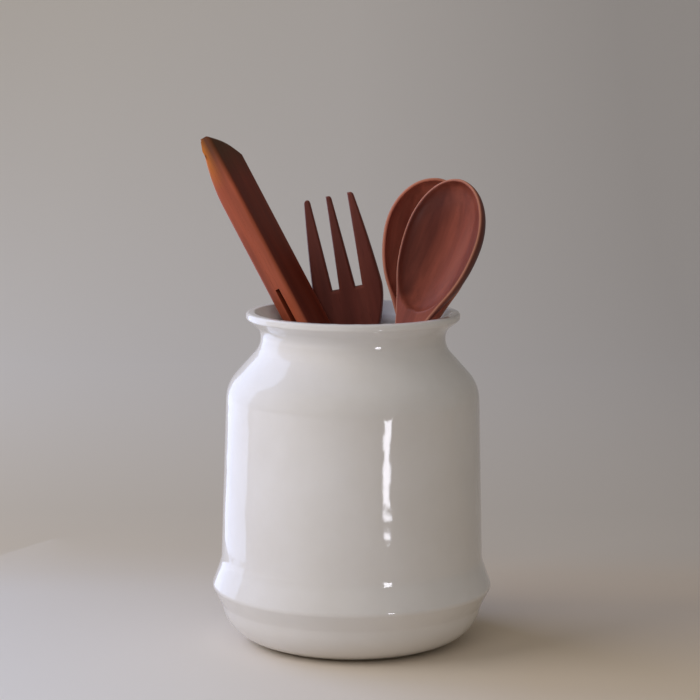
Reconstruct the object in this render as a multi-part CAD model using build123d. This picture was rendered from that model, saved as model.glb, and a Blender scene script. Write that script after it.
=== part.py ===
"""Utensil holder: a glazed stoneware jar with a ring near its foot, a narrow neck and a
flared lip, and the wooden tongs, fork and two spoons that stand in it.

Millimetres, +Z up. The origin is on the jar's axis, on the face that it stands on.
"""
import os
from math import cos, hypot, pi, radians, sin, sqrt, tan

from build123d import *

# Jar: outer wall
jar_height = 125.0
lip_radius = 40.1
lip_depth = 2.4
lip_edge_radius = 1.15
neck_radius = 34.7
neck_top_below_rim = 6.7
neck_bottom_below_rim = 13.0
neck_fillet_top = 5.6
neck_fillet_bottom = 8.5
shoulder_radius = 47.5
shoulder_below_rim = 27.2
shoulder_fillet = 15.0
body_radius = 49.45
body_bottom = 31.0
body_fillet = 14.0
ring_radius = 53.0
ring_height = 21.3
ring_fillet = 2.4
waist_radius = 49.5
waist_height = 14.6
waist_fillet = 6.0
bowl_radius = 46.8
bowl_height = 4.6
bowl_fillet = 16.0
foot_radius = 34.4

# Jar: inner wall and underside
wall = 4.2
neck_wall = 3.7
lip_wall = 3.1
floor_top = 5.5
floor_fillet = 14.0
shoulder_fillet_inside = 11.0
shoulder_inside_drop = 1.7
neck_fillet_inside = 5.0
neck_inside_drop = 2.2
neck_inside_rise = 0.9
foot_ring_width = 5.6
foot_recess = 1.5
foot_recess_slope = 1.2

# Clearance between a utensil and the floor that it stands on
lean_gap = 0.3

# Straight length left between two rounded corners of an outline
edge_left = 0.02

# Tongs: two flat arms glued to a spacer at the closed end
tongs_length = 197.3
tongs_width = 16.0
tongs_arm_thickness = 4.0
tongs_tip_thickness = 2.6
tongs_slit = 1.7
tongs_spacer_length = 64.3
tongs_edge_fillet = 1.4
tongs_end_slope = 5.3
tongs_end_corner = 11.7
tongs_end_shoulder = 5.2
tongs_end_fillet = 5.0
tongs_side_taper = 6.0
tongs_side_taper_length = 13.7
tongs_side_round = 65.0

# Fork: a dished head with three tines on a rounded handle
fork_length = 162.9
fork_head_width = 27.2
fork_head_below_tip = 36.5
fork_tine_length = 36.0
fork_tip_span = 19.0
fork_side_bulge = 0.3
fork_slot_width = 2.6
fork_slot_mouth = 6.3
fork_slot_spacing = 9.0
fork_mouth_spacing = 8.3
fork_neck_length = 34.0
fork_thickness = 4.4
fork_tip_thickness = 2.4
fork_dish = 1.8
fork_tip_lean_front = 0.12
fork_tip_lean_back = 0.16
fork_handle_width = 10.0
fork_handle_thickness = 6.0

# Spoons: an egg-shaped bowl on an oval handle
front_spoon_length = 180.0
rear_spoon_length = 171.8
bowl_width = 35.0
bowl_tip_length = 22.4
bowl_heel_length = 30.0
bowl_depth = 11.0
hollow_depth = 8.6
rim_width = 1.4
heel_width = 16.0
heel_lean = 0.1
throat_length = 30.0
throat_start = 1.0
spoon_handle_width = 9.0
spoon_handle_thickness = 6.4
spoon_end_width = 11.0
spoon_tread = 4.0

# Where each utensil stands: the angle about the jar's axis at which it crosses the neck
# and its room there to the bore, the same for its foot and the inside wall, and its turn
# about its own axis
tongs_place = dict(neck_angle=134.8, neck_room=8.85, foot_angle=4.0, foot_room=7.8, turn=-28.0)
fork_place = dict(neck_angle=87.7, neck_room=7.0, foot_angle=43.8, foot_room=13.0, turn=-4.0)
front_spoon_place = dict(neck_angle=-42.2, neck_room=7.65, foot_angle=-131.1, foot_room=10.6, turn=-44.1)
rear_spoon_place = dict(neck_angle=-3.7, neck_room=8.3, foot_angle=-73.5, foot_room=27.1, turn=-2.2)


def rounded(corners, radii, close=False):
    """A line with rounded corners, each as large as asked or as its two edges allow."""
    points = [Vector(*corner) for corner in corners]
    count = len(points)
    turns = range(count) if close else range(1, count - 1)
    reach = [0.0] * count
    for corner, radius in zip(turns, radii):
        before = points[corner] - points[corner - 1]
        after = points[(corner + 1) % count] - points[corner]
        reach[corner] = radius * tan(radians(before.get_angle(after)) / 2)
    share = [1.0] * count
    for corner in range(count if close else count - 1):
        after = (corner + 1) % count
        room = (points[after] - points[corner]).length - edge_left
        used = reach[corner] + reach[after]
        if used > room:
            share[corner] = min(share[corner], room / used)
            share[after] = min(share[after], room / used)
    limited = [radius * share[corner] for corner, radius in zip(turns, radii)]
    return FilletPolyline(*corners, radius=limited, close=close)


def jar():
    """One wall of clay: the outline below is turned about the axis."""
    neck_top = jar_height - neck_top_below_rim
    neck_bottom = jar_height - neck_bottom_below_rim
    shoulder = jar_height - shoulder_below_rim
    outer = rounded(
        [
            (foot_radius, 0),
            (bowl_radius, bowl_height),
            (waist_radius, waist_height),
            (ring_radius, ring_height),
            (body_radius, body_bottom),
            (shoulder_radius, shoulder),
            (neck_radius, neck_bottom),
            (neck_radius, neck_top),
            (lip_radius, jar_height - lip_depth),
            (lip_radius, jar_height),
            (lip_radius - lip_wall / 2, jar_height),
        ],
        [
            bowl_fillet,
            waist_fillet,
            ring_fillet,
            body_fillet,
            shoulder_fillet,
            neck_fillet_bottom,
            neck_fillet_top,
            lip_edge_radius,
            lip_edge_radius,
        ],
    )
    bore = neck_radius - neck_wall
    inner = rounded(
        [
            (lip_radius - lip_wall / 2, jar_height),
            (lip_radius - lip_wall, jar_height),
            (bore, neck_top + neck_inside_rise),
            (bore, neck_bottom - neck_inside_drop),
            (shoulder_radius - wall, shoulder - shoulder_inside_drop),
            (body_radius - wall, body_bottom),
            (body_radius - wall, floor_top),
            (0, floor_top),
        ],
        [
            lip_edge_radius,
            neck_fillet_top,
            neck_fillet_inside,
            shoulder_fillet_inside,
            body_fillet,
            floor_fillet,
        ],
    )
    ring_inner = foot_radius - foot_ring_width
    under = Polyline(
        (0, floor_top),
        (0, foot_recess),
        (ring_inner - foot_recess_slope, foot_recess),
        (ring_inner, 0),
        (foot_radius, 0),
    )
    section = make_face([*outer.edges(), *inner.edges(), *under.edges()])
    return revolve(Plane.XZ * section, Axis.Z)


def stand(piece, place, foot_width, foot_thickness):
    """Carries a piece drawn upright, its foot at the origin and its front to -Y, to its
    place in the jar: leaning from its foot to where it crosses the neck."""
    bore = neck_radius - neck_wall
    neck_middle = jar_height - (neck_top_below_rim + neck_bottom_below_rim) / 2
    at_neck = Vector(bore - place["neck_room"], 0, neck_middle)
    crossing = at_neck.rotate(Axis.Z, place["neck_angle"])
    at_foot = Vector(body_radius - wall - place["foot_room"], 0, floor_top)
    foot = at_foot.rotate(Axis.Z, place["foot_angle"])
    side, up = lean_axes(foot, crossing, place["turn"])
    front = side.cross(up)
    rises = []
    for along, across in [(1, 1), (1, -1), (-1, 1), (-1, -1)]:
        corner = foot + side * (along * foot_width / 2) + front * (across * foot_thickness / 2)
        rises.append(seat_height(corner) - corner.Z)
    foot += Vector(0, 0, max(rises))
    side, up = lean_axes(foot, crossing, place["turn"])
    return Plane(origin=foot, x_dir=side, z_dir=up).location * piece


def seat_height(corner):
    """Height at which a corner of a foot clears the floor and the round at its edge."""
    out = hypot(corner.X, corner.Y) - (body_radius - wall - floor_fillet)
    reach = floor_fillet - lean_gap
    return floor_top + floor_fillet - sqrt(reach**2 - min(max(out, 0), reach) ** 2)


def lean_axes(foot, crossing, turn):
    """The width direction and the long axis of a piece that leans from foot to crossing."""
    up = (crossing - foot).normalized()
    side = up.cross(Vector(0, -1, 0)).normalized()
    return side.rotate(Axis((0, 0, 0), up), turn), up


def prism(outline, depth, across=Plane.XZ):
    """A closed outline made solid by depth / 2 to either side of its plane."""
    return extrude(across * make_face(outline.edges()), depth / 2, both=True)


def tongs():
    """Left arm, right arm and spacer. X is the thickness and Y the width."""
    thickness = 2 * tongs_arm_thickness + tongs_slit
    half = thickness / 2
    top = tongs_length
    fork_point = top - tongs_spacer_length
    bar = extrude(RectangleRounded(thickness, tongs_width, tongs_edge_fillet), top)
    # Seen on the flat of an arm, the closed end slopes and its far corner is cut off
    flat = rounded(
        [
            (-tongs_width, 0),
            (-tongs_width, top + tongs_end_slope / 2),
            (tongs_width / 2 - tongs_end_shoulder, top - tongs_end_slope),
            (tongs_width / 2, top - tongs_end_corner),
            (tongs_width / 2, 0),
        ],
        [0, tongs_end_fillet, tongs_end_fillet, 0, 0],
        close=True,
    )
    # Seen on the edge, the left arm's outer face is rounded off towards the closed end
    edge = rounded(
        [
            (-half, 0),
            (-half, top - tongs_side_taper_length),
            (-half + tongs_side_taper, top),
            (half, top),
            (half, 0),
        ],
        [0, tongs_side_round, 0, 0, 0],
        close=True,
    )
    bar = bar & prism(flat, 2 * thickness, Plane.YZ) & prism(edge, 2 * tongs_width)
    arms = []
    for hand in (-1, 1):
        inner = hand * tongs_slit / 2
        arm = Polyline(
            (hand * half, 0),
            (hand * (half - tongs_tip_thickness), 0),
            (inner, fork_point),
            (inner, top),
            (hand * half, top),
            close=True,
        )
        arms.append(bar & prism(arm, 2 * tongs_width))
    middle = Pos(0, 0, fork_point) * Box(
        tongs_slit, tongs_width, tongs_spacer_length, align=(Align.CENTER, Align.CENTER, Align.MIN)
    )
    return arms[0], arms[1], bar & middle


def fork():
    """Handle, dished head and three tines. X is the width and Y the thickness."""
    top = fork_length
    shoulder = top - fork_head_below_tip
    throat = shoulder - fork_neck_length
    handle = fork_handle_width / 2
    head = fork_head_width / 2
    tip = fork_tip_span / 2
    bulge = ((head + tip) / 2 + fork_side_bulge, (shoulder + top) / 2)
    right = [
        Line((handle, 0), (handle, throat)),
        Spline([(handle, throat), (head, shoulder)], tangents=[(0, 1), (0, 1)]),
        ThreePointArc((head, shoulder), bulge, (tip, top)),
    ]
    left = [line.mirror(Plane.YZ) for line in right]
    ends = [Line((tip, top), (-tip, top)), Line((-handle, 0), (handle, 0))]
    outline = Curve() + [*right, *left, *ends]
    body = prism(outline, 4 * fork_handle_thickness)
    for hand in (-1, 1):
        slot_middle = hand * fork_slot_spacing / 2
        mouth_middle = hand * fork_mouth_spacing / 2
        slot = Polyline(
            (slot_middle - fork_slot_width / 2, top - fork_tine_length),
            (slot_middle + fork_slot_width / 2, top - fork_tine_length),
            (mouth_middle + fork_slot_mouth / 2, top),
            (mouth_middle - fork_slot_mouth / 2, top),
            close=True,
        )
        body -= prism(slot, 4 * fork_handle_thickness)
    half = fork_handle_thickness / 2
    dished = half - fork_dish
    side = Curve() + [
        Line((half, 0), (half, throat)),
        Spline(
            [(half, throat), (dished, shoulder), (half, top)],
            tangents=[(0, 1), (fork_tip_lean_front, 1)],
        ),
        Line((half, top), (half - fork_tip_thickness, top)),
        Spline(
            [
                (half - fork_tip_thickness, top),
                (dished - fork_thickness, shoulder),
                (-half, throat),
            ],
            tangents=[(-fork_tip_lean_back, -1), (0, -1)],
        ),
        Line((-half, throat), (-half, 0)),
        Line((-half, 0), (half, 0)),
    ]
    return body & Rot(0, 0, 180) * prism(side, 2 * fork_head_width, Plane.YZ)


def half_turned(profile, depth_ratio, arc):
    """A closed half outline turned about Z and flattened along Y by depth_ratio."""
    turned = revolve(Plane.XZ * make_face(profile.edges()), Axis.Z, revolution_arc=arc)
    return scale(turned, by=(1, depth_ratio, 1))


def spoon(length):
    """Egg-shaped bowl, throat and handle. The rim lies in the plane Y = 0."""
    rim = bowl_width / 2
    widest = length - bowl_tip_length
    heel = widest - bowl_heel_length
    throat = heel - throat_length
    # The heel follows a quarter ellipse for two thirds of its length, then runs into the throat
    drawn_in = 2 / 3
    shell = [
        EllipticalCenterArc((0, widest), rim, bowl_tip_length, 0, arc_size=90),
        Spline(
            [
                (rim, widest),
                (rim * sqrt(1 - drawn_in**2), widest - drawn_in * bowl_heel_length),
                (heel_width / 2, heel),
                (throat_start, throat),
            ],
            tangents=[(0, -1), (-heel_lean, -1)],
        ),
        Line((throat_start, throat), (0, throat)),
        Line((0, throat), (0, length)),
    ]
    bowl = half_turned(Curve() + shell, bowl_depth / rim, 180)
    inner = rim - rim_width
    hollow_tip = bowl_tip_length - rim_width
    hollow_heel = bowl_heel_length - rim_width
    inside = [
        EllipticalCenterArc((0, widest), inner, hollow_tip, 0, arc_size=90),
        EllipticalCenterArc((0, widest), inner, hollow_heel, -90, arc_size=90),
        Line((0, widest - hollow_heel), (0, widest + hollow_tip)),
    ]
    hollow = half_turned(Curve() + inside, hollow_depth / inner, 180)
    slim = spoon_handle_width / 2
    wide = spoon_end_width / 2
    stem = [
        ThreePointArc((0, 0), (wide * sin(pi / 4), wide * (1 - cos(pi / 4))), (wide, wide)),
        Line((wide, wide), (slim, throat)),
        Line((slim, throat), (throat_start, heel)),
        Line((throat_start, heel), (0, heel)),
        Line((0, heel), (0, 0)),
    ]
    handle = half_turned(Curve() + stem, spoon_handle_thickness / spoon_handle_width, 360)
    return bowl + Pos(0, spoon_handle_thickness / 2, 0) * handle - hollow


def main():
    """Stands every piece in its place and writes its file."""
    tongs_thickness = 2 * tongs_arm_thickness + tongs_slit
    # A spoon's handle has a round end, so it stands on a tread narrower than its width
    spoon_foot = (spoon_tread, spoon_handle_thickness)
    left_arm, right_arm, spacer = tongs()
    pieces = {
        "jar": jar(),
        "tongs_left_arm": stand(left_arm, tongs_place, tongs_thickness, tongs_width),
        "tongs_right_arm": stand(right_arm, tongs_place, tongs_thickness, tongs_width),
        "tongs_spacer": stand(spacer, tongs_place, tongs_thickness, tongs_width),
        "fork": stand(fork(), fork_place, fork_handle_width, fork_handle_thickness),
        "front_spoon": stand(spoon(front_spoon_length), front_spoon_place, *spoon_foot),
        "rear_spoon": stand(spoon(rear_spoon_length), rear_spoon_place, *spoon_foot),
    }
    os.makedirs("parts", exist_ok=True)
    for name, piece in pieces.items():
        export_step(piece, f"parts/{name}.step")


main()
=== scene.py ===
"""Utensil holder: a white glazed jar with a ring near its foot, a narrow neck and a flared
lip, and the wooden tongs, fork and two spoons that stand in it.

Shapes are worked out in millimetres and put into the meshes in metres.
"""
from math import cos, pi, radians, sin, tan

import bmesh
import bpy
import numpy as np
from mathutils import Matrix


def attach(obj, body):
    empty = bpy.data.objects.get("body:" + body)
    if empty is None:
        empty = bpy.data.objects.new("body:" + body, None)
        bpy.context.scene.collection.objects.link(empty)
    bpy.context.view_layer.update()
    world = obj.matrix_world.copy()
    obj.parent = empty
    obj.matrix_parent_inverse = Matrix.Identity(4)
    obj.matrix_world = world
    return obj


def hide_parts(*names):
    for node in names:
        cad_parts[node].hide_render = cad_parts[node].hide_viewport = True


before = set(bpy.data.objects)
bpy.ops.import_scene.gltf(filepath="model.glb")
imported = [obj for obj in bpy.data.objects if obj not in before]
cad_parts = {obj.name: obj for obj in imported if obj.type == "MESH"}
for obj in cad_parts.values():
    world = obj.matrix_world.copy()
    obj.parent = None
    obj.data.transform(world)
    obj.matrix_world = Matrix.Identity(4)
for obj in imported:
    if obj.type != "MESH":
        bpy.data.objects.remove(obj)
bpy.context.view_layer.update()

MM = 0.001

# Jar: sizes, then the corners of its wall as (radius, height, round), from the foot up the
# outside, from the lip down the inside, and from the axis out under the floor
jar_height = 125.0
foot_radius = 34.4
foot_ring_inside = 28.8
foot_recess = 1.5
lip_radius = 40.1
lip_wall = 3.1
lip_edge_radius = 1.15
neck_radius = 34.7
neck_wall = 3.7
neck_top = 118.3
neck_bottom = 112.0
body_radius = 49.45
body_bottom = 31.0
wall = 4.2
floor_top = 5.5
floor_fillet = 14.0
outer_corners = [
    (foot_radius, 0.0, 0),
    (46.8, 4.6, 16.0),
    (49.5, 14.6, 6.0),
    (53.0, 21.3, 2.4),
    (body_radius, body_bottom, 14.0),
    (47.5, 97.8, 15.0),
    (neck_radius, neck_bottom, 8.5),
    (neck_radius, neck_top, 5.6),
    (lip_radius, 122.6, lip_edge_radius),
    (lip_radius, jar_height, lip_edge_radius),
    (lip_radius - lip_wall / 2, jar_height, 0),
]
inner_corners = [
    (lip_radius - lip_wall / 2, jar_height, 0),
    (lip_radius - lip_wall, jar_height, lip_edge_radius),
    (neck_radius - neck_wall, neck_top + 0.9, 5.6),
    (neck_radius - neck_wall, neck_bottom - 2.2, 5.0),
    (43.3, 96.1, 11.0),
    (body_radius - wall, body_bottom, 14.0),
    (body_radius - wall, floor_top, floor_fillet),
    (0.0, floor_top, 0),
]
under_corners = [
    (0.0, foot_recess, 0),
    (foot_ring_inside - 1.2, foot_recess, 0.5),
    (foot_ring_inside, 0.25, 0.2),
    (foot_radius, 0.0, 0),
]
jar_turns = 240
glaze_ripple = 0.05
ripple_waves = 2.4

# Tongs
tongs_length = 197.3
tongs_width = 16.0
tongs_half = 4.85
tongs_slit = 1.7
tongs_tip_thickness = 2.6
tongs_fork_point = 133.0
tongs_side_taper = 6.0
tongs_side_taper_length = 27.3
tongs_edge_fillet = 1.4
tongs_end_high = 200.0
tongs_end_slope = 0.42
tongs_end_corner = (2.8, 192.07)
tongs_corner_slope = 1.23
tongs_end_softness = 0.55
tongs_arm_thinnest = 0.6
tongs_block_thinnest = 0.3
tongs_slit_round = 0.05
tongs_crease = radians(38.0)

# Fork
fork_length = 162.9
fork_shoulder = 126.4
fork_throat = 92.4
fork_slot_bottom = 126.9
fork_handle_width = 10.0
fork_handle_thickness = 6.0
fork_head_half = 13.6
fork_middle_half = 11.85
fork_tip_half = 9.5
fork_slot_half = (1.3, 3.15)
fork_slot_middle = (4.5, 4.15)
fork_point_length = 1.6
fork_shoulder_faces = (1.2, -3.2)
fork_tip_faces = (3.0, 0.6)
fork_tip_slopes = (0.12, 0.16)
fork_edge_round = (0.9, 2.2)

# Spoons
front_spoon_length = 180.0
rear_spoon_length = 171.8
bowl_half = 17.5
bowl_tip_length = 22.4
bowl_heel_length = 30.0
bowl_depth = 11.0
hollow_depth = 8.6
rim_width = 1.1
rim_round = 0.7
throat_length = 30.0
handle_half = 4.5
handle_end_half = 5.5
handle_thickness = 6.4
stem_in_bowl = 0.6

# Each utensil's place: angle about the jar's axis and room to the wall where it crosses
# the neck and at its foot, its turn about its own axis, and its foot's width and thickness
lean_gap = 0.3
tongs_place = dict(neck=(134.8, 8.85), foot=(4.0, 7.8), turn=-28.0, tread=(9.7, 16.0))
fork_place = dict(neck=(87.7, 7.0), foot=(43.8, 13.0), turn=-4.0, tread=(10.0, 6.0))
front_spoon_place = dict(neck=(-42.2, 7.65), foot=(-131.1, 10.6), turn=-44.1, tread=(4.0, 6.4))
rear_spoon_place = dict(neck=(-3.7, 8.3), foot=(-73.5, 27.1), turn=-2.2, tread=(4.0, 6.4))


def on_circle(radius, angle, height):
    """The point at an angle in degrees on a level circle about the jar's axis."""
    return np.array([radius * cos(radians(angle)), radius * sin(radians(angle)), height])


def lean_axes(foot, crossing, turn):
    """The width direction and the long axis of a piece that leans from foot to crossing."""
    up = crossing - foot
    up /= np.linalg.norm(up)
    side = np.cross(up, (0.0, -1.0, 0.0))
    side /= np.linalg.norm(side)
    return side * cos(radians(turn)) + np.cross(up, side) * sin(radians(turn)), up


def seat_height(corner):
    """Height at which a corner of a foot clears the floor and the round at its edge."""
    out = np.hypot(corner[0], corner[1]) - (body_radius - wall - floor_fillet)
    reach = floor_fillet - lean_gap
    return floor_top + floor_fillet - (reach**2 - min(max(out, 0.0), reach) ** 2) ** 0.5


def stand(place):
    """Matrix that carries a piece drawn upright, foot at the origin, front to -Y, to its
    place in the jar."""
    crossing = on_circle(neck_radius - neck_wall - place["neck"][1], place["neck"][0],
                         (neck_top + neck_bottom) / 2)
    foot = on_circle(body_radius - wall - place["foot"][1], place["foot"][0], floor_top)
    side, up = lean_axes(foot, crossing, place["turn"])
    back = np.cross(up, side)
    wide, thick = place["tread"]
    corners = [foot + side * a * wide / 2 + back * b * thick / 2 for a in (-1, 1) for b in (-1, 1)]
    foot[2] += max(seat_height(corner) - corner[2] for corner in corners)
    side, up = lean_axes(foot, crossing, place["turn"])
    carry = np.eye(4)
    carry[:3, :4] = np.column_stack([side, np.cross(up, side), up, foot])
    return carry


def smooth_step(t):
    """0 below 0, 1 above 1, and 3t^2 - 2t^3 between."""
    t = np.clip(t, 0.0, 1.0)
    return t * t * (3.0 - 2.0 * t)


def hermite(t, start, end, start_slope, end_slope):
    """Cubic that leaves start and reaches end with the given slopes, t from 0 to 1."""
    return (
        (2 * t**3 - 3 * t**2 + 1) * start
        + (t**3 - 2 * t**2 + t) * start_slope
        + (3 * t**2 - 2 * t**3) * end
        + (t**3 - t**2) * end_slope
    )


def cosine_spaced(count, low=0.0, high=1.0):
    """Values from low to high that crowd at both ends: low + (high - low)(1 - cos a) / 2."""
    return low + (high - low) * (1.0 - np.cos(np.linspace(0.0, pi, count))) / 2.0


def grid_faces(rows, columns, wrap=False):
    """Quads of a rows by columns grid, whose last column meets the first if wrap is set."""
    row, column = np.meshgrid(
        np.arange(rows - 1), np.arange(columns if wrap else columns - 1), indexing="ij"
    )
    beside = (column + 1) % columns
    quads = [row * columns + column, row * columns + beside]
    quads += [(row + 1) * columns + beside, (row + 1) * columns + column]
    return np.stack(quads, axis=-1).reshape(-1, 4)


def two_sided(front, back, quads):
    """Closes two sheets on one grid: the second is turned over, and each edge that only one
    quad uses is joined across by a wall."""
    count = len(front)
    edges = np.concatenate([quads[:, [i, (i + 1) % 4]] for i in range(4)])
    key = np.sort(edges, axis=1)
    key = key[:, 0] * count + key[:, 1]
    _, where, times = np.unique(key, return_index=True, return_counts=True)
    border = edges[where[times == 1]]
    walls = np.column_stack([border[:, 1], border[:, 0], border[:, 0] + count, border[:, 1] + count])
    return np.concatenate([front, back]), np.concatenate([quads, quads[:, ::-1] + count, walls])


def add_piece(name, points, faces, body, node, material, masks=None, crease=None):
    """A mesh object from points in millimetres, riding on its body in place of its node. Edges
    that turn by more than crease stay sharp, and each mask is a number at every point."""
    mesh = bpy.data.meshes.new(name)
    mesh.from_pydata((np.asarray(points) * MM).tolist(), [], [tuple(f) for f in faces])
    for mask, values in (masks or {}).items():
        numbers = mesh.attributes.new(mask, "FLOAT", "POINT").data
        numbers.foreach_set("value", np.float32(values))
    close_seams(mesh)
    if crease:
        mesh.set_sharp_from_angle(angle=crease)
    mesh.materials.append(material)
    piece = bpy.data.objects.new(name, mesh)
    bpy.context.scene.collection.objects.link(piece)
    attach(piece, body)
    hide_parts(node)


def close_seams(mesh):
    """Merges points that coincide, turns every face outwards and shades it smooth."""
    shell = bmesh.new()
    shell.from_mesh(mesh)
    bmesh.ops.remove_doubles(shell, verts=shell.verts, dist=0.002 * MM)
    bmesh.ops.dissolve_degenerate(shell, edges=shell.edges, dist=0.001 * MM)
    bmesh.ops.recalc_face_normals(shell, faces=shell.faces)
    # On a long thin shell that can choose the wrong side, and its volume comes out negative
    if shell.calc_volume(signed=True) < 0:
        bmesh.ops.reverse_faces(shell, faces=shell.faces)
    shell.to_mesh(mesh)
    shell.free()
    mesh.polygons.foreach_set("use_smooth", np.ones(len(mesh.polygons), bool))


def fan_faces(centre, first, columns):
    """Triangles from a centre point to a ring of points that starts at first."""
    ring = first + np.arange(columns)
    return np.column_stack([np.full(columns, centre), np.roll(ring, -1), ring])


def tube_faces(rows, columns):
    """A tube's quads, and a fan from one more point at each end: the two points after the
    grid's own."""
    count = rows * columns
    fans = [fan_faces(count, 0, columns), fan_faces(count + 1, count - columns, columns)[:, ::-1]]
    return [*grid_faces(rows, columns, wrap=True), *fans[0], *fans[1]]


def moved(points, carry):
    """Points carried by a 4 by 4 matrix."""
    return points @ carry[:3, :3].T + carry[:3, 3]


def rounded_outline(corners, straight_step=1.6, turn_step=radians(3.5)):
    """Points along a line with rounded corners: each corner's arc touches both its edges at
    radius * tan(turn / 2), and straight runs are cut into even steps."""
    places = np.array([corner[:2] for corner in corners])
    line = [places[0]]
    for i in range(1, len(places) - 1):
        before = places[i] - places[i - 1]
        after = places[i + 1] - places[i]
        before /= np.linalg.norm(before)
        after /= np.linalg.norm(after)
        turn = np.arctan2(before[0] * after[1] - before[1] * after[0], before @ after)
        radius = corners[i][2]
        reach = radius * tan(abs(turn) / 2)
        start = places[i] - before * reach
        steps = max(2, int(np.ceil(abs(turn) / turn_step)) + 1) if radius else 1
        centre = start + np.array([-before[1], before[0]]) * radius * np.sign(turn)
        swept = np.sign(turn) * np.linspace(0.0, abs(turn), steps)
        arm = start - centre
        arc = centre + np.column_stack(
            [
                arm[0] * np.cos(swept) - arm[1] * np.sin(swept),
                arm[0] * np.sin(swept) + arm[1] * np.cos(swept),
            ]
        )
        line = join_run(line, arc[0], straight_step)
        line.extend(arc[1:] if radius else [])
    return np.array(join_run(line, places[-1], straight_step))


def join_run(line, end, step):
    """Adds an even straight run from the line's last point to end."""
    start = line[-1]
    count = max(1, int(np.ceil(np.linalg.norm(end - start) / step)))
    return line + [start + (end - start) * k / count for k in range(1, count + 1)]


def make_jar(material):
    """The wall's closed outline turned about the axis: x = r cos a, y = r sin a, with r
    drawn in by a ripple of a few hundredths of a millimetre, as thick glaze runs."""
    outline = np.concatenate(
        [
            rounded_outline(under_corners)[1:-1],
            rounded_outline(outer_corners),
            rounded_outline(inner_corners)[1:-1],
        ]
    )
    radius, height = outline[:, :1], outline[:, 1:]
    angle = np.linspace(0.0, 2 * pi, jar_turns, endpoint=False)[None, :]
    # Four crossing waves, whose strengths add up to ripple_waves
    ripple = (
        np.sin(3 * angle + 0.050 * height)
        + 0.7 * np.sin(5 * angle - 0.110 * height + 1.3)
        + 0.45 * np.sin(0.33 * height + 2 * angle)
        + 0.25 * np.sin(17 * angle + 0.21 * height)
    )
    # None at the foot and at the lip's edge
    away = smooth_step((height - 3.0) / 6.0) * smooth_step((jar_height - 2.0 - height) / 6.0)
    drawn = radius - glaze_ripple * (ripple_waves + ripple) / ripple_waves * away
    points = np.stack([drawn * np.cos(angle), drawn * np.sin(angle), height + 0 * angle], axis=-1)
    points = np.concatenate([points.reshape(-1, 3), [(0, 0, foot_recess), (0, 0, floor_top)]])
    faces = tube_faces(len(outline), jar_turns)
    add_piece("glazed_jar", points, faces, "jar", "jar", material)


def fillet_drop(distance, radius):
    """How far a rounded edge lies under its face at a distance in from the outline."""
    inside = np.clip(distance, 0.0, radius)
    return radius - np.sqrt(np.maximum(radius**2 - (radius - inside) ** 2, 0.0))


def tongs_top(across):
    """Height of the closed end across the width: the lower of its gentle slope and its steep
    corner cut, blended softly where they meet."""
    gentle = tongs_end_high - tongs_end_slope * (across + tongs_width)
    steep = tongs_end_corner[1] - tongs_corner_slope * (across - tongs_end_corner[0])
    soft = tongs_end_softness
    low = np.minimum(gentle, steep)
    return low - np.log(np.exp(-soft * (gentle - low)) + np.exp(-soft * (steep - low))) / soft


def tongs_slab(hand, carry, bottom, ceiling, outer_at, inner_at, outer_round, inner_round):
    """A slab on a grid across the width and along the length, no higher than its ceiling, with
    its outer and inner face at given distances from the middle and each edge rounded by the
    distance to it. Its mask is 1 on the flat of the outer face, where shade is painted."""
    across = cosine_spaced(30, -tongs_width / 2, tongs_width / 2)
    # Rows along the length crowd at both ends, where the edges are rounded
    share = np.concatenate([cosine_spaced(13, 0.0, 0.04)[:7], np.linspace(0.03, 0.93, 90)])
    share = np.concatenate([share, 0.93 + 0.07 * np.sin(np.linspace(0.06, pi / 2, 30))])
    along, wide = np.meshgrid(share, across, indexing="ij")
    top = np.minimum(tongs_top(wide), ceiling)
    height = bottom + (top - bottom) * along
    slope = np.gradient(tongs_top(across), across)[None, :]
    edge = np.minimum(tongs_width / 2 - np.abs(wide), (top - height) / np.hypot(1.0, slope))
    edge = np.minimum(edge, height - bottom)
    outer = outer_at(height) - fillet_drop(edge, outer_round)
    inner = inner_at(height) + fillet_drop(edge, inner_round)
    sheets = [np.stack([hand * x, wide, height], axis=-1).reshape(-1, 3) for x in (outer, inner)]
    points, faces = two_sided(*sheets, grid_faces(len(share), len(across)))
    flat = smooth_step((edge - 0.1) / 1.3).reshape(-1)
    return moved(points, carry), faces, np.concatenate([flat, np.zeros_like(flat)])


def tongs_inner(height):
    """An arm's inner face: half the slit above the fork point, and drawn out below it until
    the foot keeps the tip's thickness."""
    open_share = np.clip(1.0 - height / tongs_fork_point, 0.0, 1.0)
    tip = tongs_half - tongs_tip_thickness
    return tongs_slit / 2 + (tip - tongs_slit / 2) * open_share


def tongs_tapered(height):
    """The left arm's outer face, which draws in towards the closed end on a soft curve."""
    start = tongs_length - tongs_side_taper_length
    share = np.clip((height - start) / tongs_side_taper_length, 0.0, 1.2)
    return tongs_half - tongs_side_taper * share**2


def tongs_reach(across):
    """The height at which the left arm's tapered face has drawn in to a place across the
    thickness: the taper's parabola solved for its height."""
    share = ((tongs_half - across) / tongs_side_taper) ** 0.5
    return tongs_length + tongs_side_taper_length * (share - 1.0)


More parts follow.
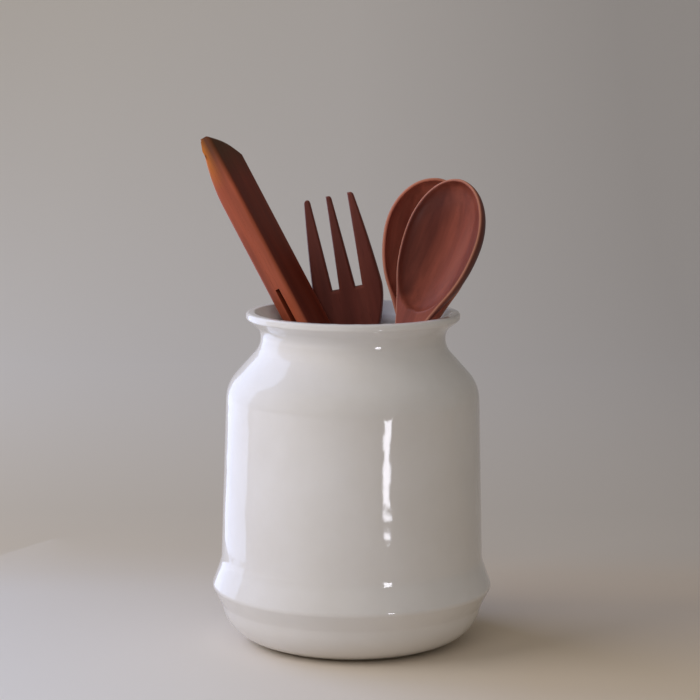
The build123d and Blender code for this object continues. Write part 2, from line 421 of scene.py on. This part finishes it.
def make_tongs(material):
    """Two arms and the spacer between them at the closed end. The taper cuts through the left
    arm and into the spacer, so each of them ends where its outer face meets its inner one."""
    carry = stand(tongs_place)
    full = lambda height: np.full_like(height, tongs_half)
    left_top = tongs_reach(tongs_slit / 2 + tongs_arm_thinnest)
    arms = {
        "tongs_left": (-1, "tongs_left_arm", tongs_tapered, left_top),
        "tongs_right": (1, "tongs_right_arm", full, tongs_end_high),
    }
    for name, (hand, node, outer_at, ceiling) in arms.items():
        points, faces, flat = tongs_slab(
            hand, carry, 0.0, ceiling, outer_at, tongs_inner, tongs_edge_fillet, tongs_slit_round
        )
        # The mask paints shade on the flat of each arm's outer face
        add_piece(
            name, points, faces, "tongs", node, material, {"painted_shade": flat},
            tongs_crease,
        )
    middle = lambda height: np.full_like(height, tongs_slit / 2)
    across = lambda height: -np.minimum(tongs_slit / 2, tongs_tapered(height))
    ceiling = tongs_reach(tongs_block_thinnest - tongs_slit / 2)
    points, faces, flat = tongs_slab(
        1, carry, tongs_fork_point, ceiling, middle, across, 0.0, 0.0
    )
    add_piece(
        "tongs_block", points, faces, "tongs", "tongs_spacer", material,
        {"painted_shade": 0 * flat}, tongs_crease,
    )


def fork_half(height):
    """Half the width along the fork: the handle, a soft step out to the shoulder, and a
    parabola through the shoulder, the bulge and the tips."""
    step = smooth_step((height - fork_throat) / (fork_shoulder - fork_throat))
    lower = fork_handle_width / 2 + (fork_head_half - fork_handle_width / 2) * step
    t = np.clip((height - fork_shoulder) / (fork_length - fork_shoulder), 0.0, 1.0)
    bow = 4 * fork_middle_half - fork_head_half * 3 - fork_tip_half
    drop = 2 * (fork_tip_half + fork_head_half - 2 * fork_middle_half)
    return np.where(height < fork_shoulder, lower, fork_head_half + bow * t + drop * t * t)


def fork_faces(height):
    """Front and back of the fork along its length, towards -Y: a flat handle, a dished head
    and tips that bend forward, as cubics between the throat, the shoulder and the tips."""
    reach = fork_length - fork_shoulder
    low = np.clip((height - fork_throat) / (fork_shoulder - fork_throat), 0.0, 1.0)
    high = np.clip((height - fork_shoulder) / reach, 0.0, 1.0)
    handle = (fork_handle_thickness / 2, -fork_handle_thickness / 2)
    faces = []
    for flat, shoulder, tip, slope in zip(
        handle, fork_shoulder_faces, fork_tip_faces, fork_tip_slopes
    ):
        head = hermite(high, shoulder, tip, 0.0, slope * reach)
        faces.append(np.where(high > 0, head, hermite(low, flat, shoulder, 0, 0)))
    return faces


def make_fork(material):
    """A plate on a grid whose columns follow the tines: the columns of the two slots have no
    faces above the slots' bottoms, and both sheets are rounded towards the outline."""
    tine, slot = 17, 5
    # Rows crowd at the foot and towards the tips
    below = np.concatenate([[0.0, 0.3, 0.8, 1.6], np.linspace(3.0, 118.0, 60)])
    below = np.concatenate([below, np.linspace(119.0, fork_slot_bottom, 14)])
    above = fork_slot_bottom + (fork_length - fork_slot_bottom) * np.sin(
        np.linspace(0.0, pi / 2, 60)
    )
    height = np.concatenate([below, above[1:]])[:, None]
    rise = np.clip((height - fork_slot_bottom) / (fork_length - fork_slot_bottom), 0.0, 1.0)
    middle = fork_slot_middle[0] + (fork_slot_middle[1] - fork_slot_middle[0]) * rise
    half_slot = fork_slot_half[0] + (fork_slot_half[1] - fork_slot_half[0]) * rise
    half = fork_half(height)
    # The tines' ends close in on a quarter ellipse over the point length
    end = np.clip((height - (fork_length - fork_point_length)) / fork_point_length, 0.0, 1.0)
    closing = np.sqrt(1.0 - end**2)
    bounds = [-half, -middle - half_slot, -middle + half_slot]
    bounds += [middle - half_slot, middle + half_slot, half]
    strips = []
    spread = []
    for i, count in enumerate([tine, slot, tine, slot, tine]):
        share = cosine_spaced(count) if count == tine else np.linspace(0.0, 1.0, count)
        centre = (bounds[i] + bounds[i + 1]) / 2
        reach = (bounds[i + 1] - bounds[i]) / 2
        if count == tine:
            reach = reach * closing
        strip = centre + reach * (2 * share[None, :] - 1)
        strips.append(strip if i == 0 else strip[:, 1:])
        spread.append(count if i == 0 else count - 1)
    wide = np.concatenate(strips, axis=1)
    columns = wide.shape[1]
    # Far below the slots the columns are spaced evenly across the handle
    even = -half + 2 * half * cosine_spaced(columns)[None, :]
    blend = smooth_step((height - fork_slot_bottom + 26.0) / 24.0)
    wide = even + (wide - even) * blend
    edge = fork_edge_distance(wide, height, half, middle, half_slot)
    front, back = fork_faces(height)
    thick = (front - back) / 2
    handle_share = smooth_step((fork_throat + 10 - height) / 20.0)
    rounding = fork_edge_round[0] + (fork_edge_round[1] - fork_edge_round[0]) * handle_share
    swell = np.sqrt(1.0 - (1.0 - np.clip(edge / rounding, 0.0, 1.0)) ** 2)
    mid = (front + back) / 2
    sheets = [
        np.stack([wide, -(mid + s * thick * swell), height + 0 * wide], axis=-1).reshape(-1, 3)
        for s in (1, -1)
    ]
    quads = grid_faces(len(height), columns)
    row, column = quads[:, 0] // columns, quads[:, 0] % columns
    starts = np.cumsum([0] + spread) - 1
    in_slot = ((column >= starts[1]) & (column < starts[2])) | (
        (column >= starts[3]) & (column < starts[4])
    )
    quads = quads[~(in_slot & (row >= len(below) - 1))]
    points, faces = two_sided(*sheets, quads)
    used = np.unique(faces)
    renumber = np.zeros(len(points), int)
    renumber[used] = np.arange(len(used))
    points = moved(points[used], stand(fork_place))
    add_piece("carved_fork", points, renumber[faces], "fork", "fork", material)


def fork_edge_distance(wide, height, half, middle, half_slot):
    """Distance in from the nearest edge: the sides, the foot, the tips and the slots."""
    sides = half - np.abs(wide)
    away = np.abs(np.abs(wide) - middle) - half_slot
    beyond = np.where(height >= fork_slot_bottom, 0.0, fork_slot_bottom - height)
    slots = np.hypot(np.maximum(away, 0.0), beyond)
    ends = np.minimum(height, 1.2 * (fork_length - height))
    return np.maximum(np.minimum(np.minimum(sides, slots), ends), 0.0)


def egg_distance(across, height, widest, half, tip, heel):
    """Roughly how far in from an egg outline a point lies: (1 - q) over the slope of q, where
    q = 1 is the ellipse of the tip above the widest row and of the heel below it. And q."""
    long = np.where(height > widest, tip, heel)
    q = np.sqrt((across / half) ** 2 + ((height - widest) / long) ** 2) + 1e-6
    slope = np.sqrt((across / half**2) ** 2 + ((height - widest) / long**2) ** 2) / q
    return (1.0 - q) / np.maximum(slope, 1e-6), q


def spoon_bowl_half(height, widest, throat):
    """Half the bowl's width: a quarter ellipse to the tip, one to two thirds of the heel, and
    from there a cubic that runs out into the throat."""
    tip = bowl_half * np.sqrt(np.maximum(1 - ((height - widest) / bowl_tip_length) ** 2, 0))
    back = bowl_half * np.sqrt(np.maximum(1 - ((height - widest) / bowl_heel_length) ** 2, 0))
    turn = widest - 2 * bowl_heel_length / 3
    start = bowl_half * 5**0.5 / 3
    slope = bowl_half * (2 / 3) / (5**0.5 / 3) / bowl_heel_length
    t = np.clip((height - throat) / (turn - throat), 0.0, 1.0)
    neck = hermite(t, 1.0, start, 0.02 * (turn - throat), slope * (turn - throat))
    return np.where(height > widest, tip, np.where(height > turn, back, neck))


def spoon_heights(widest, throat):
    """Heights of a spoon's sections, closer together at its round foot and towards its tip."""
    rows = [
        handle_end_half * (1 - np.cos(np.linspace(0.03, pi / 2, 12))),
        np.linspace(handle_end_half, throat, 30)[1:],
        np.linspace(throat, widest, 90)[1:],
        widest + bowl_tip_length * np.sin(np.linspace(0.0, pi / 2 - 0.012, 60))[1:],
    ]
    return np.concatenate(rows)[:, None]


def spoon_stem_half(height, throat, heel):
    """Half the handle's width: a quarter circle at the foot, a straight taper to the throat,
    and from there a straight run to almost nothing, while the bowl takes over."""
    foot = np.sqrt(np.maximum(1 - (1 - np.minimum(height / handle_end_half, 1)) ** 2, 0))
    along = np.clip((height - handle_end_half) / (throat - handle_end_half), 0.0, 1.0)
    straight = handle_end_half + (handle_half - handle_end_half) * along
    fade = np.clip((height - throat) / (heel - throat), 0.0, 1.0)
    return foot * straight * (1 - fade) + stem_in_bowl * fade


def spoon_cup(across, height, half, widest, heel, rim):
    """Depth of the bowl's front, and how far in from the edge it lies: over the rim's width
    half an ellipse, and inside it the hollow, as deep as hollow_depth sqrt(1 - q^2)."""
    in_from, _ = egg_distance(across, height, widest, bowl_half, bowl_tip_length, bowl_heel_length)
    in_from = np.where(height > heel + 0.35 * bowl_heel_length, in_from, half - np.abs(across))
    lip = np.clip(np.abs(in_from - rim_width / 2) / (rim_width / 2), 0.0, 1.0)
    lip = rim * (1 - np.sqrt(1 - lip**2))
    inner = [size - rim_width for size in (bowl_half, bowl_tip_length, bowl_heel_length)]
    _, q = egg_distance(across, height, widest, *inner)
    hollow = hollow_depth * np.sqrt(np.maximum(1 - q**2, 0.0))
    cup = np.where(q < 1.0, np.maximum(hollow, np.minimum(lip, hollow + 0.1)), lip)
    cup = np.where((in_from > rim_width / 2) & (q >= 1.0), np.minimum(lip, 0.0), cup)
    return cup, in_from


def make_spoon(name, node, length, place, material):
    """Closed sections along the length. Each has a back, half an ellipse under the rim, and
    a front that is round on the handle and a rim with a hollow inside it on the bowl."""
    widest = length - bowl_tip_length
    heel = widest - bowl_heel_length
    throat = heel - throat_length
    height = spoon_heights(widest, throat)
    stem = spoon_stem_half(height, throat, heel)
    bowl = spoon_bowl_half(height, widest, throat) * (height > throat)
    half = (stem**4 + bowl**4) ** 0.25
    # Share of the bowl in the section's form, from 0 on the handle to 1 on the bowl
    share = smooth_step((bowl - 0.55 * stem) / (1.2 * stem + 0.4))
    share = np.where(height > heel, 1.0, share)
    stem_mid = handle_thickness / 2
    stem_deep = stem * handle_thickness / (2 * handle_half)
    rim = rim_round * np.minimum(1.0, bowl / 3.0)
    edge_line = stem_mid + (rim - stem_mid) * share
    deep = (stem_mid + stem_deep) ** 6 * (height < heel) + (bowl * bowl_depth / bowl_half) ** 6
    deep = deep ** (1 / 6)
    # Back from one edge round to the other
    turn = np.linspace(0.0, pi, 33)[None, :]
    back_wide = half * np.cos(turn)
    back_deep = edge_line + (deep - edge_line) * np.sin(turn) ** 0.9
    # Front from that edge back over: the rim's columns, the hollow's, the rim's again
    band = np.minimum(rim_width, 0.45 * half)
    rim_columns = half - band * cosine_spaced(9)[None, :]
    hollow_columns = (half - band) * np.cos(np.linspace(0.0, pi, 41))[None, 1:-1]
    front_wide = -np.concatenate([rim_columns, hollow_columns, -rim_columns[:, ::-1]], axis=1)
    front_wide = front_wide[:, 1:-1]
    round_front = stem_mid - stem_deep * np.sqrt(np.maximum(1 - (front_wide / half) ** 2, 0))
    cup, in_from = spoon_cup(front_wide, height, half, widest, heel, rim)
    front_deep = round_front + (cup - round_front) * share
    wide = np.concatenate([back_wide, front_wide], axis=1)
    deeps = np.concatenate([back_deep, front_deep], axis=1)
    points = np.stack([wide, deeps, height + 0 * wide], axis=-1).reshape(-1, 3)
    points = np.concatenate([points, [(0.0, stem_mid, 0.0), (0.0, 0.05, length)]])
    # The rim is paler along its top, from wear and a painted highlight, and the back is painted in
    # shade
    wear_and_highlight = np.exp(-(((in_from - 0.35) / 0.35) ** 2)) * share
    wear_and_highlight = np.concatenate([np.zeros_like(back_wide), wear_and_highlight], axis=1)
    painted_shade = np.sin(turn) ** 0.5 + 0 * back_wide
    painted_shade = np.concatenate([painted_shade, np.zeros_like(front_wide)], axis=1)
    masks = {
        "wear_and_highlight": np.append(wear_and_highlight.reshape(-1), [0.0, 0.6]),
        "painted_shade": np.append(painted_shade.reshape(-1), [1.0, 0.5]),
    }
    faces = tube_faces(*wide.shape)
    points = moved(points, stand(place))
    add_piece(name, points, faces, node, node, material, masks)


def colour(tone):
    """A colour written as an sRGB hex string, as linear values."""
    parts = [int(tone[i : i + 2], 16) / 255 for i in (0, 2, 4)]
    return [c / 12.92 if c < 0.04045 else ((c + 0.055) / 1.055) ** 2.4 for c in parts] + [1.0]


class Nodes:
    """A material's node tree, with short ways to add nodes and links. A source is a node, a
    (node, output) pair, a colour written in hex, or a number."""

    # A node's usual output where it isn't the first one: Object coordinates, an attribute's
    # factor and the colour of a mix
    usual_output = {"ShaderNodeTexCoord": 3, "ShaderNodeAttribute": 2, "ShaderNodeMix": 2}

    def __init__(self, name):
        self.material = bpy.data.materials.new(name)
        self.material.use_nodes = True
        self.tree = self.material.node_tree
        self.shader = self.tree.nodes["Principled BSDF"]

    def add(self, kind, **values):
        """A node whose properties and inputs are set by name."""
        node = self.tree.nodes.new(kind)
        for key, value in values.items():
            if hasattr(node, key):
                setattr(node, key, value)
            else:
                node.inputs[key.replace("_", " ")].default_value = value
        return node

    def set(self, **values):
        """Sets the shader's own sockets."""
        for key, value in values.items():
            self.shader.inputs[key.replace("_", " ")].default_value = value

    def link(self, source, socket):
        """Feeds a source into an input socket."""
        if isinstance(source, str):
            socket.default_value = colour(source)
        elif isinstance(source, float):
            socket.default_value = source
        else:
            if not isinstance(source, tuple):
                source = source, self.usual_output.get(source.bl_idname, 0)
            self.tree.links.new(source[0].outputs[source[1]], socket)

    def shade(self, name, source):
        """Feeds a source into one of the shader's sockets."""
        self.link(source, self.shader.inputs[name])

    def axes(self, source):
        """The three coordinates of a place, as the outputs X, Y and Z."""
        split = self.add("ShaderNodeSeparateXYZ")
        self.link(source, split.inputs[0])
        return split

    def texture(self, kind, place, **values):
        """A texture read at a place."""
        texture = self.add("ShaderNodeTex" + kind, **values)
        self.link(place, texture.inputs["Vector"])
        return texture

    def stretch(self, place, along):
        """A place with its third axis scaled."""
        scaled = self.add("ShaderNodeMapping", Scale=(1.0, 1.0, along))
        self.link(place, scaled.inputs["Vector"])
        return scaled

    def span(self, source, low, high, to_low=0.0, to_high=1.0):
        """The source's values from low to high, turned into to_low to to_high."""
        limits = dict(From_Min=low, From_Max=high, To_Min=to_low, To_Max=to_high)
        span = self.add("ShaderNodeMapRange", **limits)
        self.link(source, span.inputs[0])
        return span

    def ramp(self, source, stops):
        """A colour ramp over the source, as (place, colour) stops."""
        ramp = self.add("ShaderNodeValToRGB")
        while len(ramp.color_ramp.elements) < len(stops):
            ramp.color_ramp.elements.new(0.5)
        for element, (place, tone) in zip(ramp.color_ramp.elements, stops):
            element.position = place
            element.color = colour(tone) if isinstance(tone, str) else [tone] * 3 + [1.0]
        self.link(source, ramp.inputs[0])
        return ramp

    def mix(self, share, first, second, blend="MIX"):
        """Mixes two colours by a share."""
        mix = self.add("ShaderNodeMix", data_type="RGBA", blend_type=blend)
        for source, socket in ((share, 0), (first, 6), (second, 7)):
            self.link(source, mix.inputs[socket])
        return mix

    def math(self, operation, first, second):
        """Sum or product of two sources, kept between 0 and 1."""
        result = self.add("ShaderNodeMath", operation=operation, use_clamp=True)
        self.link(first, result.inputs[0])
        self.link(second, result.inputs[1])
        return result

    def bump(self, source, strength, distance, under=None, invert=False):
        """Relief from a source's height, over the relief under it."""
        bump = self.add("ShaderNodeBump", Strength=strength, Distance=distance, invert=invert)
        self.link(source, bump.inputs["Height"])
        if under:
            self.link(under, bump.inputs["Normal"])
        return bump


def glaze_material():
    """White glaze over pale clay: a faint warm and cool mottle, tiny iron specks, a soft
    ripple under a hard gloss, and bare clay where the foot ring stands."""
    nodes = Nodes("white_glaze")
    place = nodes.add("ShaderNodeTexCoord")
    mottle = nodes.texture("Noise", place, Scale=28.0, Detail=4.0, Roughness=0.55)
    tone = nodes.ramp(mottle, [(0.3, "e4e1dd"), (0.7, "eae8e6")])
    # The heart of each cell is a speck, where a coarser noise lets it through
    cells = nodes.texture("Voronoi", place, Scale=170.0, Randomness=1.0)
    dot = nodes.ramp(cells, [(0.0, 1.0), (0.035, 0.0)])
    sparse = nodes.texture("Noise", place, Scale=60.0, Detail=1.0)
    few = nodes.ramp(sparse, [(0.60, 0.0), (0.66, 0.35)])
    specked = nodes.mix(nodes.math("MULTIPLY", dot, few), tone, "b5a894")
    # Bare clay below 0.5 mm, glaze above 0.9 mm
    bare = nodes.span((nodes.axes(place), "Z"), 0.9 * MM, 0.5 * MM)
    grain = nodes.texture("Noise", place, Scale=900.0, Detail=3.0)
    clay = nodes.ramp(grain, [(0.3, "b7a88f"), (0.7, "cdbfa8")])
    nodes.shade("Base Color", nodes.mix(bare, specked, clay))
    nodes.shade("Roughness", nodes.span(bare, 0.0, 1.0, 0.07, 0.7))
    ripple = nodes.texture("Noise", place, Scale=95.0, Detail=2.0, Roughness=0.4)
    peel = nodes.texture("Noise", place, Scale=420.0, Detail=2.0, Roughness=0.5)
    soft = nodes.bump(ripple, 0.2, 1.2 * MM)
    nodes.shade("Normal", nodes.bump(peel, 0.05, 0.3 * MM, under=soft))
    nodes.set(IOR=1.52, Specular_IOR_Level=0.55)
    return nodes.material


def wood_material(name, place, dark, middle, light, painted_shade=None, wear_and_highlight=None, painted_glow=False):
    """Carved hardwood in the piece's own axes: long streaks along the grain, short dark
    pores, a slow change of tone and a satin oiled finish. Where the piece's masks say, it is
    darkened by painted shade and made paler by wear and a painted highlight, and a painted
    glow turns the top of the left side orange."""
    nodes = Nodes(name)
    carry = Matrix(stand(place).tolist())
    own = nodes.add(
        "ShaderNodeMapping",
        vector_type="TEXTURE",
        Location=carry.to_translation() * MM,
        Rotation=carry.to_3x3().to_euler(),
    )
    nodes.link(nodes.add("ShaderNodeTexCoord"), own.inputs["Vector"])
    lengthways = nodes.stretch(own, 0.07)
    streaks = nodes.texture(
        "Noise", lengthways, Scale=420.0, Detail=5.0, Roughness=0.62, Distortion=0.35
    )
    bands = nodes.texture("Noise", lengthways, Scale=75.0, Detail=3.0, Roughness=0.5)
    tone = nodes.ramp(bands, [(0.32, dark), (0.52, middle), (0.72, light)])
    fine = nodes.ramp(streaks, [(0.35, 0.62), (0.65, 1.0)])
    grained = nodes.mix(0.55, tone, fine, "MULTIPLY")
    pore_cells = nodes.texture("Voronoi", nodes.stretch(own, 0.035), Scale=1500.0)
    pore = nodes.ramp(pore_cells, [(0.05, 1.0), (0.16, 0.0)])
    skin = nodes.mix(pore, grained, dark)
    # Wear and a painted highlight: paler where the mask is set
    if wear_and_highlight:
        rim = nodes.add("ShaderNodeAttribute", attribute_name="wear_and_highlight")
        skin = nodes.mix(nodes.math("MULTIPLY", rim, 0.75), skin, wear_and_highlight)
    # Painted shade: darker where the mask is set
    if painted_shade:
        away = nodes.add("ShaderNodeAttribute", attribute_name="painted_shade")
        skin = nodes.mix(away, skin, nodes.mix(1.0, skin, painted_shade, "MULTIPLY"))
    # Painted glow: orange at the top of the left side, going over to dark brown towards the right
    if painted_glow:
        split = nodes.axes(own)
        up = nodes.span((split, "Z"), 176 * MM, 192 * MM, 0.0, 0.8)
        left = nodes.span((split, "X"), -3.5 * MM, 4.5 * MM)
        skin = nodes.mix(up, skin, nodes.ramp(left, [(0.35, "d07c1c"), (0.75, "4a3016")]))
    nodes.shade("Base Color", skin)
    nodes.shade("Roughness", nodes.span(streaks, 0.0, 1.0, 0.38, 0.52))
    relief = nodes.bump(streaks, 0.22, 0.3 * MM)
    nodes.shade("Normal", nodes.bump(pore, 0.15, 0.2 * MM, under=relief, invert=True))
    nodes.set(IOR=1.47, Specular_IOR_Level=0.35)
    return nodes.material


def stage_material():
    """Matt paper with one run of tones across it near the object and a greyer one behind,
    blended into each other, and a third run from front to back over both. The runs across
    paint light and shade: the near one is cool at the left and warmer and a little darker to
    the right, where the object's shadow falls, and the one behind darker to the right, away
    from the window."""
    nodes = Nodes("table_and_wall_paper")
    split = nodes.axes(nodes.add("ShaderNodeTexCoord"))
    # Painted light and shade near the object: cool at the left, warmer and a little darker to the
    # right
    near = nodes.ramp(
        nodes.span((split, "X"), -0.17, 0.17),
        [(0.0, "f0f1f2"), (0.35, "f0ede8"), (0.7, "eee2d2"), (1.0, "efe3d2")],
    )
    # Painted shade behind: darker towards the right, away from the window
    behind = nodes.ramp(
        nodes.span((split, "X"), -0.24, 0.24),
        [(0.0, "ccc6ba"), (0.5, "c4bfb6"), (1.0, "a09c96")],
    )
    depth = nodes.ramp(
        nodes.span((split, "Y"), -0.2, 0.7),
        [(0.0, "ffffff"), (0.34, "e9e1d5"), (0.48, "e5e0d7"), (1.0, "ffffff")],
    )
    far = nodes.span((split, "Y"), 0.06, 0.16)
    far.interpolation_type = "SMOOTHSTEP"
    nodes.shade("Base Color", nodes.mix(1.0, nodes.mix(far, near, behind), depth, "MULTIPLY"))
    # Seen directly, in the gloss or through glass, the paper behind is a little paler
    path = nodes.add("ShaderNodeLightPath")
    seen = nodes.math("ADD", (path, "Is Camera Ray"), (path, "Is Glossy Ray"))
    seen = nodes.math("ADD", seen, (path, "Is Transmission Ray"))
    nodes.shade("Emission Strength", nodes.math("MULTIPLY", seen, far))
    nodes.set(Emission_Color=(0.122, 0.110, 0.102, 1.0), Roughness=0.9, Specular_IOR_Level=0.2)
    return nodes.material


def make_stage():
    """A table that curves up into a wall well behind the object: one sheet, level to the
    bend, then a quarter circle and the wall."""
    bend_start, bend_radius, wall_top, reach = 700.0, 900.0, 3000.0, 3600.0
    turn = np.linspace(0.0, pi / 2, 40)
    wall_back = bend_start + bend_radius
    back = np.concatenate([[-reach], bend_start + bend_radius * np.sin(turn), [wall_back]])
    up = np.concatenate([[0.0], bend_radius * (1 - np.cos(turn)), [wall_top]])
    across = np.array([-reach, reach])
    along, wide = np.meshgrid(np.arange(len(back)), across, indexing="ij")
    points = np.stack([wide, back[along], up[along]], axis=-1).reshape(-1, 3)
    mesh = bpy.data.meshes.new("table_and_wall")
    faces = grid_faces(len(back), 2)[:, ::-1]
    mesh.from_pydata((points * MM).tolist(), [], [tuple(f) for f in faces])
    mesh.polygons.foreach_set("use_smooth", np.ones(len(mesh.polygons), bool))
    mesh.materials.append(stage_material())
    table = bpy.data.objects.new("table_and_wall", mesh)
    bpy.context.scene.collection.objects.link(table)


def add_lamp(name, place, target, size, power, tone, diffuse=True, glossy=True):
    """A rectangular lamp at a place in millimetres that faces a target."""
    data = bpy.data.lights.new(name, "AREA")
    data.shape = "RECTANGLE"
    data.size, data.size_y = size[0] * MM, size[1] * MM
    data.energy = power
    data.color = colour(tone)[:3]
    lamp = bpy.data.objects.new(name, data)
    bpy.context.scene.collection.objects.link(lamp)
    there = Matrix.Translation([c * MM for c in place])
    look = np.array(target, float) - np.array(place, float)
    away = -look / np.linalg.norm(look)
    right = np.cross((0.0, 0.0, 1.0), away)
    right /= np.linalg.norm(right)
    turn = np.column_stack([right, np.cross(away, right), away])
    lamp.matrix_world = there @ Matrix(turn.tolist()).to_4x4()
    lamp.visible_diffuse = diffuse
    lamp.visible_glossy = glossy


def light_room():
    """A tall window close by on the left and a small bright strip low in front, which only the
    gloss shows, the soft light that comes from that window, the wide light of the room on its
    side, and a weak one in front."""
    add_lamp("window", (-174, 98, 240), (0, 0, 240), (162, 480), 0.40, "c8d8ff", diffuse=False)
    add_lamp("window_light", (-820, 460, 620), (0, 0, 90), (700, 700), 5.3, "b8ccff", glossy=False)
    add_lamp("daylight", (-1000, -320, 640), (0, 0, 90), (800, 800), 7.0, "f6f1f2", glossy=False)
    add_lamp("room", (-250, -1100, 900), (0, 0, 60), (900, 900), 2.2, "fff6f0", glossy=False)
    add_lamp("strip", (140, -262, 42), (0, 0, 68), (26, 54), 0.06, "f4f4ff", diffuse=False)
    world = bpy.data.worlds.new("room_air")
    world.use_nodes = True
    air = world.node_tree.nodes["Background"]
    air.inputs["Color"].default_value = colour("ccc9c5")
    air.inputs["Strength"].default_value = 0.43
    bpy.context.scene.world = world


def aim_camera():
    """The camera 0.9 m in front of the jar's axis, above its rim, tipped down and turned
    about a quarter of a degree round its own line of sight."""
    sensor_width, lens, tip, roll = 36.0, 124.6, 8.07, 0.0049
    data = bpy.data.cameras.new("camera")
    data.sensor_width = sensor_width
    data.lens = lens
    camera = bpy.data.objects.new("camera", data)
    bpy.context.scene.collection.objects.link(camera)
    turn = Matrix.Rotation(radians(90.0 - tip), 4, "X") @ Matrix.Rotation(roll, 4, "Z")
    camera.matrix_world = Matrix.Translation((-0.0011, -0.9, 0.238)) @ turn
    bpy.context.scene.camera = camera


def main():
    """Makes every piece, the stage, the lamps and the camera."""
    make_jar(glaze_material())
    tones = ("8a4029", "bd6040", "d58060")
    make_tongs(wood_material("tongs_wood", tongs_place, *tones, painted_shade="9a7a74", painted_glow=True))
    tones = ("58281f", "7a3c31", "904e40")
    make_fork(wood_material("fork_wood", fork_place, *tones))
    for node, length, place, tones in [
        ("front_spoon", front_spoon_length, front_spoon_place, ("642e24", "8a4636", "a05a46")),
        # The rear spoon's wood is painted lighter than the front spoon's, painted light against the
        # shade it stands in
        ("rear_spoon", rear_spoon_length, rear_spoon_place, ("95483a", "c46b55", "d9806a")),
    ]:
        wood = wood_material(node + "_wood", place, *tones, painted_shade="8c706a", wear_and_highlight="c88a70")
        make_spoon("carved_" + node, node, length, place, wood)
    make_stage()
    light_room()
    aim_camera()
    bpy.context.scene.view_settings.view_transform = "Standard"


main()
